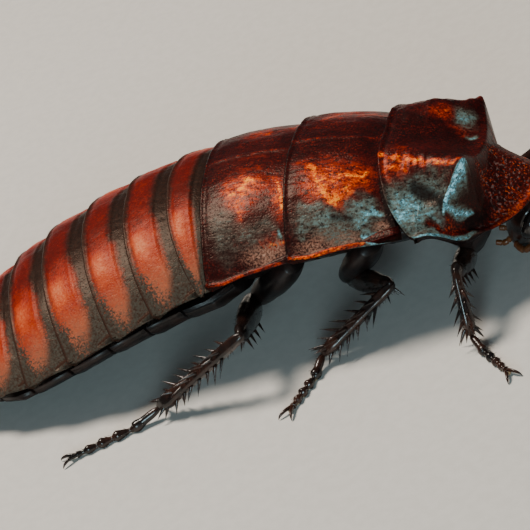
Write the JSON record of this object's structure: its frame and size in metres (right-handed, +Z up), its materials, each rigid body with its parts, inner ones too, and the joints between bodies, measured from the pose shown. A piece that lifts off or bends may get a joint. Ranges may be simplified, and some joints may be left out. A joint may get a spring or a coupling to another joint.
{
  "type": "madagascar hissing cockroach",
  "caption": "Standing male Madagascar hissing cockroach with a horned shield over its head, overlapping arched back plates, thorny legs and long swept antennae.",
  "frame": {"origin": "on the floor under the feet, below the middle of the box round the whole animal", "axes": "+X forwards past the head, +Y to the animal's left, +Z up"},
  "size_m": [0.102, 0.0568, 0.0167],
  "materials": {
    "thorax_plates": "glossy dark red-brown shell, finely pitted",
    "abdomen_plates": "satin red-orange bands with dark edges",
    "underside": "dark brown satin shell",
    "head": "dark brown glossy shell",
    "eyes": "polished black, finely faceted",
    "feelers": "dark brown, ringed and finely haired",
    "legs": "glossy near-black brown"
  },
  "bodies": {
    "root": {"pronotum": "thorax_plates", "mesonotum": "thorax_plates", "metanotum": "thorax_plates", "tergite_1": "abdomen_plates", "tergite_2": "abdomen_plates", "tergite_3": "abdomen_plates", "tergite_4": "abdomen_plates", "tergite_5": "abdomen_plates", "tergite_6": "abdomen_plates", "tergite_7": "abdomen_plates", "supra_anal_plate": "abdomen_plates", "prothorax_underside": "underside", "mesothorax_underside": "underside", "metathorax_underside": "underside", "sternite_2": "underside", "sternite_3": "underside", "sternite_4": "underside", "sternite_5": "underside", "sternite_6": "underside", "sternite_7": "underside", "subgenital_plate": "underside", "neck": "underside", "head": "head", "palp_left": "head", "palp_right": "head", "eye_left": "eyes", "eye_right": "eyes", "antenna_left": "feelers", "antenna_right": "feelers", "cercus_left": "feelers", "cercus_right": "feelers", "coxa_front_left": "underside", "femur_front_left": "legs", "tibia_front_left": "legs", "tarsus_front_left": "legs", "coxa_front_right": "underside", "femur_front_right": "legs", "tibia_front_right": "legs", "tarsus_front_right": "legs", "coxa_middle_left": "underside", "femur_middle_left": "legs", "tibia_middle_left": "legs", "tarsus_middle_left": "legs", "coxa_middle_right": "underside", "femur_middle_right": "legs", "tibia_middle_right": "legs", "tarsus_middle_right": "legs", "coxa_hind_left": "underside", "femur_hind_left": "legs", "tibia_hind_left": "legs", "tarsus_hind_left": "legs", "coxa_hind_right": "underside", "femur_hind_right": "legs", "tibia_hind_right": "legs", "tarsus_hind_right": "legs"}
  },
  "joints": []
}
